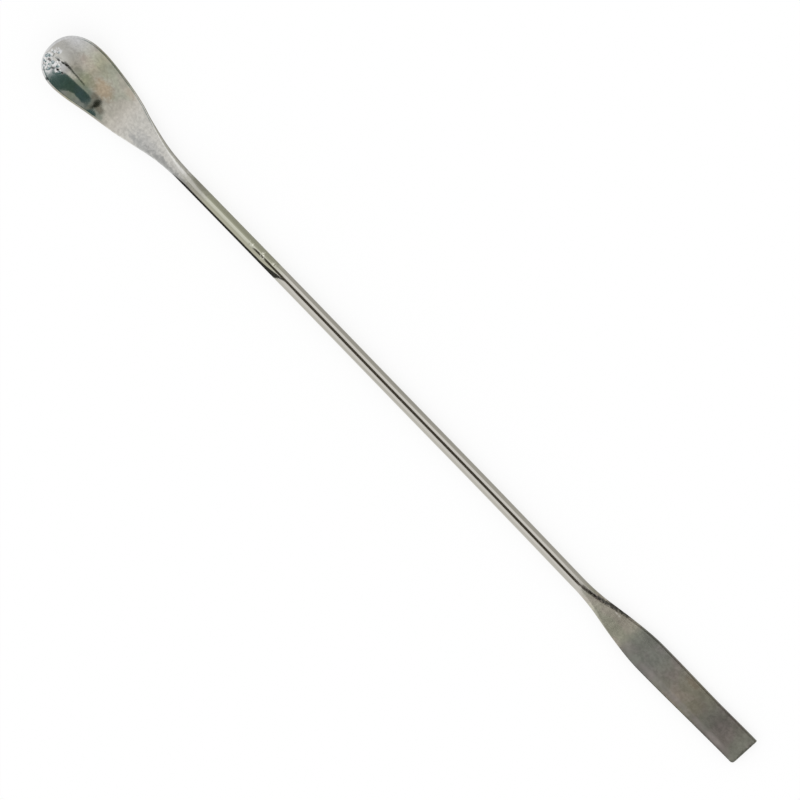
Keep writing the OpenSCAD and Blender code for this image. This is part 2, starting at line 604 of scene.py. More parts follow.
class Spatula:
    """The whole spatula: its sections, joined into one closed skin and laid as it rests."""

    EDGE_HIGHLIGHT_FROM = (17.0, 26.0)  # places between which the painted highlight on the neck's corners starts
    EDGE_HIGHLIGHT_TO = (38.0, 45.0)  # places between which it stops
    EDGE_HIGHLIGHT_TURN = 0.2  # angle round a corner where the painted highlight starts
    FLANK_SHADE_CORNER = 0.4  # how much sharper than fully round a corner is where the painted shade on its sides is full
    UPPER = (-0.1, 0.1)  # heights in the blank between which the upper side starts
    DENTED = (0.1, 0.4)  # heights in the blank between which the dimples reach their depth
    CLEARANCE = 0.001  # how far inside the CAD box the skin's lowest and highest points lie

    def __init__(self) -> None:
        """Takes the sizes of the bowl, the blade and the marks on them."""
        self.bowl = Bowl()
        self.blade = Blade()
        self.hand_work = HandWork()
        self.fineness = Fineness()

    def stations(self) -> Sections:
        """All sections, from the tip of the bowl to the end of the blade.

        Returns:
            One run of sections.
        """
        bowl, blade, fine = self.bowl, self.blade, self.fineness
        neck = np.concatenate([
            np.arange(bowl.nose, fine.bowl_end, fine.bowl_step),
            np.arange(fine.bowl_end, bowl.length, fine.neck_step),
        ])
        nicks_start, nicks_end = fine.nicked
        rod = np.concatenate([
            np.arange(bowl.length, nicks_start, fine.rod_step),
            np.arange(nicks_start, nicks_end, fine.nicked_step),
            np.arange(nicks_end, blade.start, fine.rod_step),
        ])
        shoulder_end = blade.start + blade.shoulder
        shoulder = np.arange(blade.start, shoulder_end, fine.neck_step)
        flat = np.linspace(shoulder_end, blade.end - blade.worn_r, fine.flat, endpoint=False)
        turns = np.radians(np.linspace(0, 90, fine.corner, endpoint=False))
        corner = blade.end - blade.worn_r * (1 - np.sin(turns))
        lip = np.radians(np.linspace(0, 90, fine.lip))
        edge = blade.end - blade.lip * (1 - np.sin(lip))
        corner = corner[corner < edge[0] - SLOPE_STEP]
        x = np.concatenate([shoulder, flat, corner, edge, [blade.end, blade.end]])
        inset = np.concatenate([
            np.zeros(len(shoulder) + len(flat) + len(corner)),
            blade.lip * (1 - np.cos(lip)),
            [blade.lip + rim for rim in fine.rims],
        ])
        ones = np.ones_like(rod)
        plain = Sections(
            rod, bowl.rod_r * ones, 0 * rod, 0 * rod, ones, 2 * bowl.rod_r * ones, bowl.rim_bulge * ones,
            bowl.rod_r * ones,
        )
        return Sections.joined([
            bowl.nose_sections(fine.nose), bowl.neck_sections(neck), plain, blade.sections(x, inset),
        ])

    def blank(self, s: Sections) -> np.ndarray:
        """The skin before pressing.

        Args:
            s: The sections.

        Returns:
            Points as an array of section, place in the ring, and x, y, z; each ring starts and ends at one point.
        """
        quarter = self.fineness.ring // 4
        k = (np.arange(quarter) + 0.5) / quarter
        t = (s.thick / 2)[:, None]
        b = np.minimum(s.bulge, s.thick / 2)[:, None]
        r = s.fillet[:, None]
        half = s.half[:, None]
        arc_r = (b * b + t * t) / (2 * b)
        middle = half - arc_r
        fillet_y = middle + np.sqrt(np.maximum(0, (arc_r - r) ** 2 - (t - r) ** 2))
        turn = np.arctan2(t - r, np.maximum(TINY, fillet_y - middle))
        side_len = arc_r * turn + self.fineness.side_extra * turn
        fillet_len = (r + self.fineness.fillet_extra) * (math.pi / 2 - turn)
        flat_len = np.maximum(0, fillet_y)
        place = k[None, :] * (side_len + fillet_len + flat_len)
        on_side = place < side_len
        on_fillet = ~on_side & (place < side_len + fillet_len)
        side_a = turn * place / np.maximum(TINY, side_len)
        fillet_a = turn + (math.pi / 2 - turn) * (place - side_len) / np.maximum(TINY, fillet_len)
        flat_s = 1 - (place - side_len - fillet_len) / np.maximum(TINY, flat_len)
        y = np.where(on_side, middle + arc_r * np.cos(side_a),
                     np.where(on_fillet, fillet_y + r * np.cos(fillet_a), fillet_y))
        z = np.where(on_side, arc_r * np.sin(side_a), np.where(on_fillet, t - r + r * np.sin(fillet_a), t))
        across = np.where(on_side | on_fillet, 1.0, flat_s)
        # painted shade: marks the sides to be painted darker, fully on the side arc and half on the corners
        self.flank_shade = np.where(on_side, 1.0, np.where(on_fillet, 0.5, 0.0)) * share(1 - r / t, 0.0, self.FLANK_SHADE_CORNER)
        reach = ease(s.x, *self.EDGE_HIGHLIGHT_FROM) * (1 - ease(s.x, *self.EDGE_HIGHLIGHT_TO))
        highlit = np.sin(math.pi * share(fillet_a, self.EDGE_HIGHLIGHT_TURN, math.pi / 2))
        # painted highlight: marks the neck's corners to be painted brighter
        self.painted_edge_highlight = np.where(on_fillet, highlit, 0.0) * reach[:, None]
        out = y - half
        px = s.x[:, None] + s.out_x[:, None] * out
        py = (half + s.out_y[:, None] * out) * across
        upper = np.stack([px, py, z], axis=2)
        flip = upper[:, ::-1]
        ring = np.concatenate([upper, flip * (1, -1, 1), upper * (1, -1, -1), flip * (1, 1, -1)], axis=1)
        ring[:, :, 1] += s.centre[:, None]
        return np.concatenate([ring, ring[:, :1]], axis=1)

    def laid(self, points: np.ndarray) -> np.ndarray:
        """Lays the spatula on its belly and the far end of the plain rod.

        Args:
            points: Points in the rod's own axes.

        Returns:
            Points in the row frame, in metres, with their heights fitted into the CAD part's.
        """
        rod_r, heel = self.bowl.rod_r, self.blade.start
        near = points[points[..., 0] < self.bowl.length]
        tilt = float(np.max(np.arctan2(-rod_r - near[:, 2], heel - near[:, 0])))
        x = points[..., 0] * math.cos(tilt) + points[..., 2] * math.sin(tilt)
        z = -points[..., 0] * math.sin(tilt) + points[..., 2] * math.cos(tilt)
        low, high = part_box(NODE)
        shift = (low[0] + high[0]) / 2 / MM - (x.min() + x.max()) / 2
        floor, top = low[2] / MM + self.CLEARANCE, high[2] / MM - self.CLEARANCE
        log.info("rest tilt %.4f degrees, heights fitted by %.5f", math.degrees(tilt), (top - floor) / np.ptp(z))
        z = floor + (z - z.min()) * (top - floor) / (z.max() - z.min())
        return np.stack([x + shift, points[..., 1], z], axis=-1) * MM

    def points(self) -> np.ndarray:
        """The finished skin's points, in the row frame.

        Returns:
            Points as an array of section, place in the ring, and x, y, z, in metres.
        """
        sections = self.stations()
        blank = self.blank(sections)
        x, y, z = blank[..., 0], blank[..., 1], blank[..., 2]
        work = self.hand_work
        self.upper = share(z, *self.UPPER)
        dented = z + work.dents(x, y) * share(z, *self.DENTED)
        pressed = np.stack(self.bowl.pressed(x, y, dented), axis=-1)
        thinner = 1 - work.cuts(x, y, z) / self.bowl.rod_r
        nicked = np.stack([x, y * thinner, z * thinner], axis=-1)
        shaped = np.where((x < self.bowl.length)[..., None], pressed, nicked)
        shaped[..., 1] -= through(work.bend, np.clip(x, 0, self.blade.end))
        return self.laid(shaped)

    def all_round(self, upper: np.ndarray) -> np.ndarray:
        """Repeats one quarter's numbers all round the ring.

        Args:
            upper: Numbers by section and place in the first quarter.

        Returns:
            The numbers by section and place in the whole ring.
        """
        ring = np.concatenate([upper, upper[:, ::-1], upper, upper[:, ::-1]], axis=1)
        return np.concatenate([ring, ring[:, :1]], axis=1)

    def build(self) -> bpy.types.Object:
        """Rolls a sheet round the sections, welds its seam and closes both ends.

        Returns:
            The spatula as one closed mesh.
        """
        points = self.points()
        rings, around = points.shape[:2]
        bm = bmesh.new()
        bmesh.ops.create_grid(bm, x_segments=around - 1, y_segments=rings - 1, size=1.0)
        bm.verts.ensure_lookup_table()
        masks = {"flank_shade": self.all_round(self.flank_shade), "painted_edge_highlight": self.all_round(self.painted_edge_highlight), "upper": self.upper}
        layers = {name: bm.verts.layers.float.new(name) for name in masks}
        shares = zip(*(mask.ravel() for mask in masks.values()))
        for vert, place, numbers in zip(bm.verts, points.reshape(-1, 3), shares):
            vert.co = place
            for layer, number in zip(layers.values(), numbers):
                vert[layer] = number
        seam = [v for i, v in enumerate(bm.verts) if i % around in (0, around - 1)]
        ends = [[bm.verts[base + j] for j in range(around - 1)] for base in (0, (rings - 1) * around)]
        bmesh.ops.remove_doubles(bm, verts=seam, dist=TINY)
        for end in ends:
            self.close(bm, [v for v in end if v.is_valid])
        bmesh.ops.recalc_face_normals(bm, faces=bm.faces[:])
        obj = new_object(bm, "forged_spatula")
        faces = obj.data.polygons
        faces.foreach_set("use_smooth", [True] * len(faces))
        log.info("forged_spatula: %d faces", len(faces))
        return obj

    @staticmethod
    def close(bm: bmesh.types.BMesh, ring: list[bmesh.types.BMVert]) -> None:
        """Closes an end ring from side to side.

        Args:
            bm: The mesh.
            ring: The ring's points.
        """
        mates = set(ring)
        edges = {e for v in ring for e in v.link_edges if e.is_boundary and mates.issuperset(e.verts)}
        middle = sum(v.co.y for v in ring) / len(ring)
        sides = [e for e in edges if (e.verts[0].co.y - middle) * (e.verts[1].co.y - middle) > 0]
        bmesh.ops.bridge_loops(bm, edges=sides)


# ---- finishes ----


class Nodes:
    """Places and joins shader nodes in one tree."""

    def __init__(self, tree: bpy.types.NodeTree) -> None:
        """Starts on a tree.

        Args:
            tree: The tree that the nodes go into.
        """
        self.tree = tree

    def add(self, kind: str, inputs: dict | None = None, **settings) -> bpy.types.Node:
        """Adds a node.

        Args:
            kind: The node's type, without its ShaderNode prefix.
            inputs: Socket name or number to a value, or to another node's output.
            **settings: The node's own settings.

        Returns:
            The node.
        """
        node = self.tree.nodes.new("ShaderNode" + kind)
        for name, value in settings.items():
            setattr(node, name, value)
        for name, value in (inputs or {}).items():
            if isinstance(value, bpy.types.NodeSocket):
                self.tree.links.new(value, node.inputs[name])
            else:
                node.inputs[name].default_value = value
        return node

    def math(self, how: str, a, b=0.0, clamp: bool = False):
        """Works out one number from two.

        Args:
            how: The operation.
            a: First number or output.
            b: Second number or output.
            clamp: Whether the result stays between 0 and 1.

        Returns:
            The result's output.
        """
        return self.add("Math", {0: a, 1: b}, operation=how, use_clamp=clamp).outputs[0]

    def step(self, value, start: float, end: float, low: float = 0.0, high: float = 1.0, how: str = "SMOOTHSTEP"):
        """A step of a value.

        Args:
            value: The value's output.
            start: Where the step begins.
            end: Where it is complete.
            low: Result before the step.
            high: Result after it.
            how: SMOOTHSTEP for a soft step, LINEAR for a straight one.

        Returns:
            The result's output.
        """
        return self.add("MapRange", {0: value, 1: start, 2: end, 3: low, 4: high}, interpolation_type=how).outputs[0]

    def vector(self, how: str, a, b=(0.0, 0.0, 0.0), output: int | str = 0):
        """Works out a vector, or its length, from two vectors.

        Args:
            how: The operation.
            a: First vector or output.
            b: Second vector or output.
            output: Which of the node's outputs to read.

        Returns:
            The result's output.
        """
        return self.add("VectorMath", {0: a, 1: b}, operation=how).outputs[output]

    def noise(self, where, scale, detail: float, roughness: float):
        """Reads a noise.

        Args:
            where: The place's output.
            scale: Its scale, as a number or output.
            detail: How many finer layers it has.
            roughness: How strong they are.

        Returns:
            The noise's output.
        """
        given = {"Vector": where, "Scale": scale, "Detail": detail, "Roughness": roughness}
        return self.add("TexNoise", given).outputs[0]

    def mask(self, name: str):
        """Reads a number that the mesh carries at its points.

        Args:
            name: The number's name.

        Returns:
            Its output.
        """
        return self.add("Attribute", attribute_name=name).outputs["Fac"]

    def blend(self, share_out, a, b, how: str = "MIX"):
        """Mixes two colours.

        Args:
            share_out: Share of the second, as a number or output.
            a: First colour or output.
            b: Second colour or output.
            how: The blend type.

        Returns:
            The colour's output.
        """
        return self.add("Mix", {0: share_out, 6: a, 7: b}, data_type="RGBA", blend_type=how).outputs[2]

    def surface(self, shader: bpy.types.Node) -> None:
        """Gives the material its surface.

        Args:
            shader: The shader's node.
        """
        self.add("OutputMaterial", {0: shader.outputs[0]})


def new_material(name: str) -> tuple[bpy.types.Material, Nodes]:
    """Starts a material without nodes.

    Args:
        name: Its name.

    Returns:
        The material and the tool that adds its nodes.
    """
    material = bpy.data.materials.new(name)
    material.use_nodes = True
    material.node_tree.nodes.clear()
    return material, Nodes(material.node_tree)


class Effect(Enum):
    """The effects that the steel's regions share, each a node group."""

    STREAKS = "drawn_streaks"
    STAINS = "stains"
    PEEL = "hammer_peel"


class Effects:
    """Builds the shared node groups once and places them in a material."""

    FINE, BROAD = 0.4, 0.6  # shares of the fine and the broad noise in the streaks' shade
    BROAD_SCALE = 0.3  # scale of the broad noise against the fine one
    ELSEWHERE = (31.0, 17.0, 5.0)  # shift that makes a stain's tint independent of its place
    TINT_SCALE = 0.7  # scale of the tint's noise against the blotches'
    BLOTCH_EDGE = (0.38, 0.62)  # values of its noise between which a blotch starts
    TINT_EDGE = (0.4, 0.6)
    MOTTLE_EDGE = (0.3, 0.7)
    WAVE_SCALE, WAVE = 0.28, 2.0  # scale and strength of the peel's waves against its fine part

    def __init__(self) -> None:
        """Builds every group."""
        self.groups = {
            Effect.STREAKS: self.streaks(),
            Effect.STAINS: self.stains(),
            Effect.PEEL: self.peel(),
        }

    @staticmethod
    def group(effect: Effect, inputs: dict[str, float | None], outputs: tuple[str, ...]) -> tuple[Nodes, dict]:
        """Starts a node group.

        Args:
            effect: Which effect it is.
            inputs: Socket name to default number, or to None for a vector.
            outputs: Names of the numbers that it puts out.

        Returns:
            The group's nodes, and its input sockets by name.
        """
        tree = bpy.data.node_groups.new(effect.value, "ShaderNodeTree")
        for name, value in inputs.items():
            kind = "NodeSocketVector" if value is None else "NodeSocketFloat"
            socket = tree.interface.new_socket(name=name, in_out="INPUT", socket_type=kind)
            if value is not None:
                socket.default_value = value
        for name in outputs:
            tree.interface.new_socket(name=name, in_out="OUTPUT", socket_type="NodeSocketFloat")
        nodes = Nodes(tree)
        start = tree.nodes.new("NodeGroupInput")
        return nodes, {name: start.outputs[name] for name in inputs}

    @staticmethod
    def finish(nodes: Nodes, results: dict[str, bpy.types.NodeSocket]) -> bpy.types.NodeTree:
        """Ends a node group.

        Args:
            nodes: The group's nodes.
            results: Output name to the socket that feeds it.

        Returns:
            The group.
        """
        end = nodes.tree.nodes.new("NodeGroupOutput")
        for name, socket in results.items():
            nodes.tree.links.new(socket, end.inputs[name])
        return nodes.tree

    def streaks(self) -> bpy.types.NodeTree:
        """Long fine lines along X, from drawing and polishing.

        Returns:
            The group.
        """
        nodes, given = self.group(Effect.STREAKS, {"Place": None, "Fineness": 6.0, "Length": 14.0}, ("Height", "Shade"))
        thin = nodes.math("DIVIDE", 1.0, given["Length"])
        stretch = nodes.add("CombineXYZ", {0: thin, 1: given["Fineness"], 2: given["Fineness"]}).outputs[0]
        drawn = nodes.vector("MULTIPLY", given["Place"], stretch)
        fine = nodes.noise(drawn, 1.0, 3.0, 0.6)
        broad = nodes.noise(drawn, self.BROAD_SCALE, 2.0, 0.5)
        shade = nodes.math("ADD", nodes.math("MULTIPLY", broad, self.BROAD), nodes.math("MULTIPLY", fine, self.FINE))
        return self.finish(nodes, {"Height": fine, "Shade": shade})

    def stains(self) -> bpy.types.NodeTree:
        """Soft blotches of tarnish, with finer mottling in them.

        Returns:
            The group.
        """
        inputs = {"Place": None, "Size": 6.0, "Grain": 0.8}
        nodes, given = self.group(Effect.STAINS, inputs, ("Blotch", "Tint", "Mottle"))
        elsewhere = nodes.vector("ADD", given["Place"], self.ELSEWHERE)
        blotch = nodes.noise(given["Place"], nodes.math("DIVIDE", 1.0, given["Size"]), 2.0, 0.55)
        tint = nodes.noise(elsewhere, nodes.math("DIVIDE", self.TINT_SCALE, given["Size"]), 1.0, 0.5)
        mottle = nodes.noise(given["Place"], nodes.math("DIVIDE", 1.0, given["Grain"]), 3.0, 0.6)
        return self.finish(nodes, {
            "Blotch": nodes.step(blotch, *self.BLOTCH_EDGE),
            "Tint": nodes.step(tint, *self.TINT_EDGE),
            "Mottle": nodes.step(mottle, *self.MOTTLE_EDGE),
        })

    def peel(self) -> bpy.types.NodeTree:
        """The faint unevenness of hammered and polished steel.

        Returns:
            The group.
        """
        nodes, given = self.group(Effect.PEEL, {"Place": None, "Size": 0.7}, ("Height",))
        fine = nodes.noise(given["Place"], nodes.math("DIVIDE", 1.0, given["Size"]), 2.0, 0.45)
        wide = nodes.noise(given["Place"], nodes.math("DIVIDE", self.WAVE_SCALE, given["Size"]), 1.0, 0.5)
        return self.finish(nodes, {"Height": nodes.math("ADD", fine, nodes.math("MULTIPLY", wide, self.WAVE))})

    def place(self, nodes: Nodes, effect: Effect, where: bpy.types.NodeSocket, **values: float) -> dict:
        """Places a group in a material.

        Args:
            nodes: The material's nodes.
            effect: Which effect.
            where: The place's output, in millimetres.
            **values: The group's own numbers, by input name.

        Returns:
            The group's outputs by name.
        """
        node = nodes.tree.nodes.new("ShaderNodeGroup")
        node.node_tree = self.groups[effect]
        nodes.tree.links.new(where, node.inputs["Place"])
        for name, value in values.items():
            node.inputs[name].default_value = value
        return {output.name: output for output in node.outputs}


@dataclass(frozen=True)
class Patch:
    """A soft-edged patch of colour: some are stains, others painted reflections, highlights and shade.

    Attributes:
        at: Its middle: place along the spatula from the tip of the bowl, and place across it, in millimetres.
        reach: Its half-length and half-width.
        tone: Colour of the steel in it.
        strength: Share of its tone in its middle.
    """

    at: tuple[float, float]
    reach: tuple[float, float]
    tone: Tone
    strength: float


@dataclass(frozen=True)
class ForgedSteel:
    """Bright forged steel: polished and tarnished in the bowl, streaked on the rod, duller and darker on the blade,
    where the darkness is partly painted reflection; painted reflections, highlights and shade lie over it in places.

    Attributes:
        name: The material's name.
        tones: Stations of place along the spatula and colour of the steel there; on the shoulder and blade its darker,
            uneven tones are partly finish and partly painted reflection.
        finish: Stations of place along the spatula and roughness there.
        patches: The patches: stains, and painted reflections, highlights and shade.
        green: What a greenish blotch leaves of the colour.
        brown: What a brownish blotch leaves of the colour.
        flank_shade: What the painted shade on the sides leaves of the colour.
        painted_edge_highlight: How much brighter the neck's corners are painted, a painted highlight along them.
        bowl_start: Places between which the bowl's blotches begin.
        bowl_end: Places between which they end.
        neck_end: Places between which the forged skin of the neck gives way to the drawn rod.
        flats_start: Places between which the forged skin of the blade begins.
        flank_shade_start: Places between which the painted shade on the sides begins.
        hides_streaks: Share of the drawn streaks that a forged skin hides.
        ragged: How uneven the patches' edges are, as a share of their reach.
        core: Share of a patch's reach within which it is at its full strength.
        peel_rise: Places between which the peel's relief grows, and its share before and after.
        streak_rise: The same, of the streaks' relief.
        relief: Depth of the relief at a share of one, in metres.
        streak_size: Fineness and length of the streaks.
        stain_size: Size of the blotches and of the mottling in them, in millimetres.
        peel_size: Size of the peel, in millimetres.
        streak_tint: Values of the streaks' shade, and what each leaves of the colour.
        blotch_tint: The same, of the blotches.
        mottle_tint: The same, of the mottling.
        streak_dull: Values of the streaks' shade, and how many times as rough each is.
    """

    name: str = "forged_steel"
    tones: tuple[tuple[float, Tone], ...] = (
        (0.0, (0.56, 0.56, 0.56)), (3.5, (0.53, 0.53, 0.53)), (7.0, (0.45, 0.44, 0.41)),
        (10.5, (0.37, 0.355, 0.28)), (13.0, (0.35, 0.35, 0.3)), (17.0, (0.37, 0.37, 0.32)),
        (20.0, (0.41, 0.405, 0.36)), (24.0, (0.52, 0.505, 0.465)), (30.0, (0.55, 0.535, 0.5)),
        (46.0, (0.55, 0.54, 0.51)), (50.0, (0.55, 0.55, 0.46)), (71.0, (0.55, 0.55, 0.46)),
        (75.0, (0.56, 0.54, 0.495)), (171.0, (0.56, 0.54, 0.495)), (174.0, (0.47, 0.45, 0.4)),
        (181.0, (0.455, 0.44, 0.385)), (184.0, (0.39, 0.375, 0.325)),
        (187.0, (0.47, 0.455, 0.395)), (188.6, (0.3, 0.3, 0.275)), (190.5, (0.263, 0.263, 0.25)),
        (196.0, (0.283, 0.283, 0.274)), (202.0, (0.332, 0.309, 0.285)), (205.0, (0.375, 0.343, 0.296)),
        (208.0, (0.345, 0.32, 0.275)), (211.0, (0.296, 0.282, 0.247)), (214.0, (0.266, 0.255, 0.242)),
        (217.0, (0.24, 0.228, 0.216)), (220.0, (0.28, 0.26, 0.247)), (223.0, (0.32, 0.316, 0.292)),
    )
    finish: tuple[tuple[float, float], ...] = (
        (0.0, 0.07), (19.0, 0.08), (28.0, 0.19), (44.0, 0.14), (60.0, 0.12), (171.0, 0.12), (176.0, 0.2), (188.0, 0.3),
    )
    patches: tuple[Patch, ...] = (
        # the tip: a painted brighter sheen over its dimples, painted dark reflections in them as spots, and a painted
        # dark reflection as a line beside them
        Patch((2.8, -2.9), (4.4, 4.6), (0.76, 0.76, 0.76), 0.9),
        Patch((4.8, -3.42), (0.5, 0.42), (0.02, 0.02, 0.02), 1.0),
        Patch((6.05, -3.3), (0.4, 0.3), (0.06, 0.06, 0.06), 0.9),
        Patch((3.7, -3.8), (0.45, 0.4), (0.12, 0.12, 0.12), 0.9),
        Patch((2.05, -2.75), (0.6, 0.42), (0.16, 0.16, 0.16), 0.9),
        Patch((4.6, -6.35), (0.6, 0.5), (0.08, 0.09, 0.09), 0.9),
        Patch((2.7, -5.3), (0.45, 0.4), (0.35, 0.35, 0.35), 0.8),
        Patch((3.5, -1.56), (0.6, 0.32), (0.1, 0.1, 0.1), 0.95),
        Patch((4.5, -1.46), (0.8, 0.26), (0.14, 0.14, 0.14), 0.9),
        Patch((5.5, -1.4), (0.7, 0.34), (0.03, 0.03, 0.03), 1.0),
        Patch((6.5, -1.46), (0.7, 0.24), (0.12, 0.12, 0.12), 0.85),
        # the bowl: brown and green tarnish
        Patch((11.3, -3.9), (1.8, 1.3), (0.45, 0.41, 0.41), 0.8),
        Patch((15.0, 0.2), (3.9, 2.6), (0.36, 0.302, 0.217), 0.88),
        Patch((7.8, 2.7), (2.4, 1.6), (0.42, 0.37, 0.32), 0.5),
        Patch((8.2, -0.9), (2.8, 1.8), (0.29, 0.295, 0.26), 0.7),
        Patch((20.3, 4.3), (2.3, 1.4), (0.42, 0.36, 0.3), 0.5),
        Patch((11.3, -0.9), (3.1, 1.8), (0.25, 0.26, 0.185), 0.7),
        Patch((12.6, 3.4), (2.4, 1.5), (0.33, 0.315, 0.25), 0.5),
        # the neck: two darker patches, and painted shade that darkens it towards its -Y edge
        Patch((31.5, -0.6), (6.0, 2.0), (0.45, 0.445, 0.43), 0.8),
        Patch((45.5, 0.3), (5.0, 3.0), (0.43, 0.42, 0.37), 0.8),
        Patch((30.5, -2.2), (5.5, 1.3), (0.4, 0.4, 0.39), 0.8),
        Patch((37.0, -1.1), (6.5, 1.5), (0.34, 0.34, 0.33), 0.9),
        Patch((42.5, -0.8), (5.0, 1.0), (0.33, 0.33, 0.32), 0.85),
        # the shoulder: a painted dark reflection as a band along its ridge, and two painted highlights below it
        Patch((174.4, 0.62), (1.0, 0.26), (0.11, 0.1, 0.1), 0.9),
        Patch((175.5, 0.8), (1.0, 0.32), (0.1, 0.09, 0.09), 1.0),
        Patch((176.6, 1.02), (1.0, 0.36), (0.09, 0.09, 0.08), 1.0),
        Patch((177.7, 1.22), (1.0, 0.4), (0.09, 0.09, 0.08), 1.0),
        Patch((178.8, 1.46), (1.0, 0.44), (0.09, 0.09, 0.08), 1.0),
        Patch((179.9, 1.72), (1.0, 0.48), (0.09, 0.09, 0.08), 1.0),
        Patch((181.1, 2.0), (1.0, 0.5), (0.09, 0.09, 0.08), 1.0),
        Patch((182.4, 2.36), (1.1, 0.48), (0.1, 0.1, 0.09), 1.0),
        Patch((183.8, 2.66), (1.1, 0.42), (0.12, 0.12, 0.11), 0.9),
        Patch((181.8, 1.4), (0.8, 0.22), (0.75, 0.74, 0.7), 0.8),
        Patch((182.8, 1.35), (0.5, 0.3), (0.7, 0.7, 0.66), 0.7),
        # the blade and its end
        Patch((207.0, -3.0), (20.0, 1.0), (0.42, 0.395, 0.395), 0.5),
        Patch((218.5, -3.0), (4.0, 1.0), (0.42, 0.395, 0.39), 0.5),
        Patch((216.4, 0.8), (3.2, 2.6), (0.21, 0.195, 0.19), 0.6),
        Patch((209.6, -1.0), (2.4, 2.6), (0.3, 0.295, 0.225), 0.5),
        Patch((205.5, 2.6), (2.6, 1.0), (0.29, 0.225, 0.18), 0.5),
        Patch((224.9, 0.0), (0.6, 6.0), (0.15, 0.15, 0.135), 0.8),
        # the nicks on the rod
        Patch((63.6, 0.4), (0.2, 0.2), (0.12, 0.12, 0.1), 0.8),
        Patch((64.3, 0.9), (0.22, 0.5), (0.95, 0.95, 0.85), 0.7),
        Patch((67.5, 1.2), (0.22, 0.4), (0.95, 0.95, 0.85), 0.9),
        Patch((67.8, 0.8), (0.22, 0.4), (0.95, 0.95, 0.85), 0.9),
        Patch((68.1, 0.3), (0.22, 0.4), (0.95, 0.95, 0.85), 0.9),
        Patch((70.8, 1.2), (0.16, 0.5), (0.95, 0.93, 0.87), 0.9),
        Patch((71.3, 1.1), (0.12, 0.4), (0.95, 0.93, 0.87), 0.7),
    )
    green: Tone = (0.955, 0.975, 0.91)
    brown: Tone = (1.03, 0.99, 0.97)
    # painted shade on the sides
    flank_shade: Tone = (0.62, 0.61, 0.59)
    # painted highlight along the neck's corners
    painted_edge_highlight: Tone = (1.4, 1.42, 1.45)
    bowl_start: tuple[float, float] = (4.0, 9.0)
    bowl_end: tuple[float, float] = (20.0, 27.0)
    neck_end: tuple[float, float] = (36.0, 46.0)
    flats_start: tuple[float, float] = (171.0, 177.0)
    flank_shade_start: tuple[float, float] = (19.0, 29.0)
    hides_streaks: float = 0.75
    ragged: float = 0.35
    core: float = 0.35
    peel_rise: tuple[float, float, float, float] = (17.0, 30.0, 0.1, 0.8)
    streak_rise: tuple[float, float, float, float] = (17.0, 40.0, 0.015, 0.15)
    relief: float = 0.00002
    streak_size: tuple[float, float] = (5.0, 16.0)
    stain_size: tuple[float, float] = (3.2, 0.75)
    peel_size: float = 0.75
    streak_tint: tuple[float, float, float, float] = (0.3, 0.7, 0.88, 1.1)
    blotch_tint: tuple[float, float, float, float] = (0.0, 1.0, 0.93, 1.06)
    mottle_tint: tuple[float, float, float, float] = (0.0, 1.0, 0.88, 1.1)
    streak_dull: tuple[float, float, float, float] = (0.3, 0.7, 1.25, 0.8)

    @staticmethod
    def ramp(nodes: Nodes, along: bpy.types.NodeSocket, stations: tuple) -> bpy.types.NodeSocket:
        """Reads a colour or a number from stations along the spatula.

        Args:
            nodes: The material's nodes.
            along: The place's output.
            stations: Pairs of place, and colour or number.

        Returns:
            The colour's output.
        """
        node = nodes.add("ValToRGB", {0: nodes.math("DIVIDE", along, LENGTH)})
        stops = node.color_ramp.elements
        while len(stops) < len(stations):
            stops.new(1.0)
        for stop, (place, value) in zip(stops, stations):
            stop.position = place / LENGTH
            stop.color = (*value, 1) if isinstance(value, tuple) else (value, value, value, 1)
        return node.outputs[0]

    def stains_and_painted_light(self, nodes: Nodes, colour, along, across, wobble):
        """Lays the patches over a colour.

        Args:
            nodes: The material's nodes.
            colour: The colour's output.
            along: Output of the place along the spatula.
            across: Output of the place across it.
            wobble: Output of a number about a half, which makes the patches' edges uneven.

        Returns:
            The stained colour's output.
        """
        flat = nodes.add("CombineXYZ", {0: along, 1: across}).outputs[0]
        uneven = nodes.math("MULTIPLY", nodes.math("SUBTRACT", wobble, 0.5), self.ragged)
        for patch in self.patches:
            off = nodes.vector("SUBTRACT", flat, (*patch.at, 0))
            off = nodes.vector("MULTIPLY", off, (1 / patch.reach[0], 1 / patch.reach[1], 0))
            far = nodes.math("ADD", nodes.vector("LENGTH", off, output="Value"), uneven)
            colour = nodes.blend(nodes.step(far, self.core, 1.0, patch.strength, 0.0), colour, (*patch.tone, 1))
        return colour

    def build(self, effects: Effects) -> bpy.types.Material:
        """Makes the material.

        Args:
            effects: The shared node groups.

        Returns:
            The material.
        """
        material, nodes = new_material(self.name)
        place = nodes.vector("MULTIPLY", nodes.add("TexCoord").outputs["Object"], (1 / MM,) * 3)
        split = nodes.add("SeparateXYZ", {0: place})
        along = nodes.math("ADD", split.outputs[0], TIP_SHIFT)
        fineness, length = self.streak_size
        size, grain = self.stain_size
        streaks = effects.place(nodes, Effect.STREAKS, place, Fineness=fineness, Length=length)
        stains = effects.place(nodes, Effect.STAINS, place, Size=size, Grain=grain)
        peel = effects.place(nodes, Effect.PEEL, place, Size=self.peel_size)

        before_neck = nodes.step(along, *self.bowl_end, 1.0, 0.0)
        in_bowl = nodes.math("MULTIPLY", nodes.step(along, *self.bowl_start), before_neck)
        on_flats = nodes.step(along, *self.flats_start)
        forged = nodes.math("ADD", nodes.step(along, *self.neck_end, 1.0, 0.0), on_flats)
        drawn = nodes.math("SUBTRACT", 1.0, nodes.math("MULTIPLY", forged, self.hides_streaks))
        flank_shade = nodes.math("MULTIPLY", nodes.mask("flank_shade"), nodes.step(along, *self.flank_shade_start))

